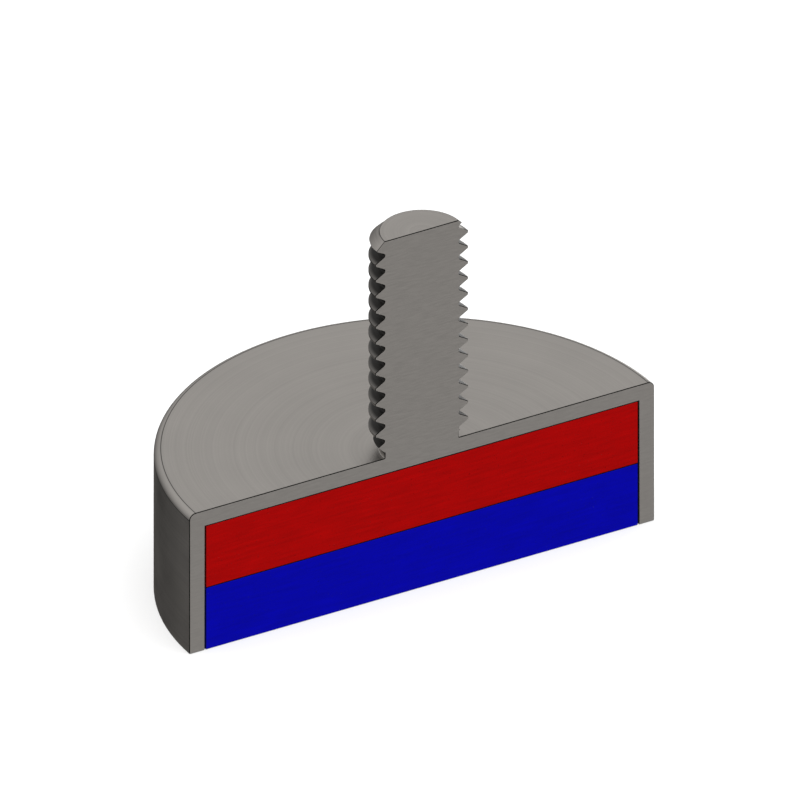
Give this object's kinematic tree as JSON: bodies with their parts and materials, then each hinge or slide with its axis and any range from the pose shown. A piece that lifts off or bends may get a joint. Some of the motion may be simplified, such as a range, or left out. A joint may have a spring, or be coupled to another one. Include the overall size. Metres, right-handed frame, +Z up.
{
  "type": "cutaway pot magnet",
  "caption": "Pot magnet cut in half through its axis: a steel pot turned in one piece with a threaded stud holds a red pole disc over a blue one, for display or teaching.",
  "frame": {"origin": "on the stud's axis, in the plane of the magnetic face that the part stands on", "axes": "+Z up along the stud, +Y from the flat cut face into the kept half, X across the cut face"},
  "size_m": [0.03, 0.015, 0.023],
  "materials": {
    "plated_steel": "satin",
    "north_red": "satin",
    "south_blue": "satin"
  },
  "bodies": {
    "root": {"steel_pot_with_stud": "plated_steel", "north_pole_disc": "north_red", "south_pole_disc": "south_blue"}
  },
  "joints": []
}
